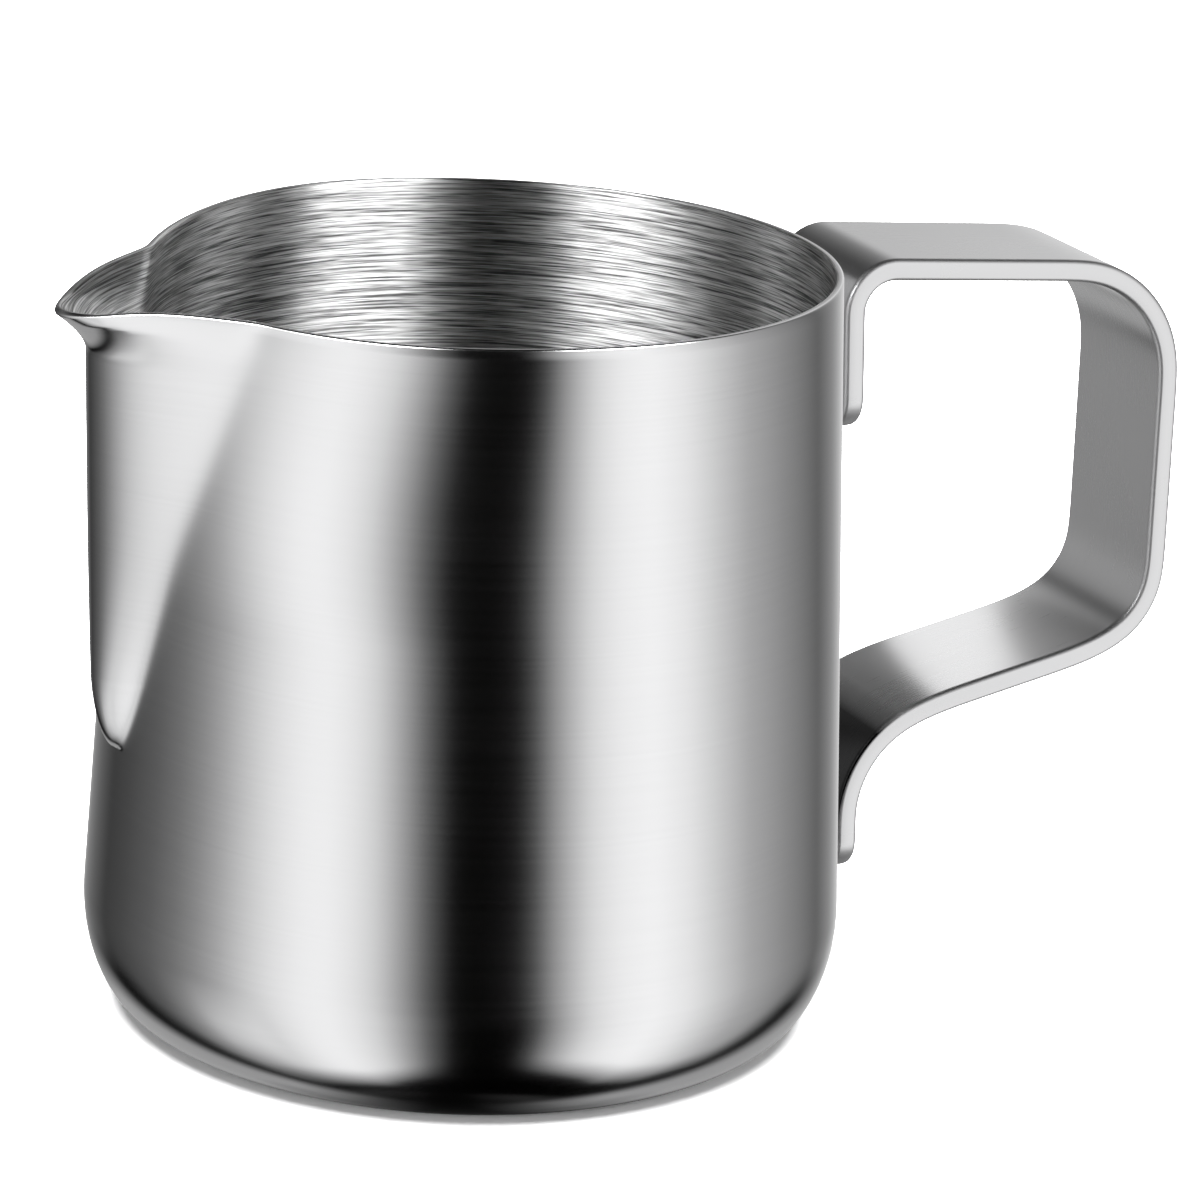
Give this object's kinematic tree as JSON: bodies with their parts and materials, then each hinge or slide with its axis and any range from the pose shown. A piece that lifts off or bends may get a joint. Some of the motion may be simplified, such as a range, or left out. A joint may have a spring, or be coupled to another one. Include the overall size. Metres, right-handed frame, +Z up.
{
  "type": "milk frothing pitcher",
  "caption": "Tapered stainless steel milk frothing pitcher with a pressed V spout, an everted pouring lip and an open strap handle welded to the wall.",
  "frame": {"origin": "centre of the flat base, on the plane it stands on", "axes": "+Z up along the cup's axis; the handle points along +X and the spout along -X; Y is the width"},
  "size_m": [0.1262, 0.0808, 0.0815],
  "materials": {
    "satin_steel": "satin outside, circumferentially brushed inside, stainless steel sheet",
    "polished_strap_steel": "polished stainless steel strap with tumbled edges",
    "weld_steel": "matt spot-weld nugget, hidden between strap and wall"
  },
  "bodies": {
    "root": {"pitcher_body": "satin_steel", "handle_strap": "polished_strap_steel", "upper_front_spot_weld": "weld_steel", "upper_back_spot_weld": "weld_steel", "lower_front_spot_weld": "weld_steel", "lower_back_spot_weld": "weld_steel"}
  },
  "joints": []
}
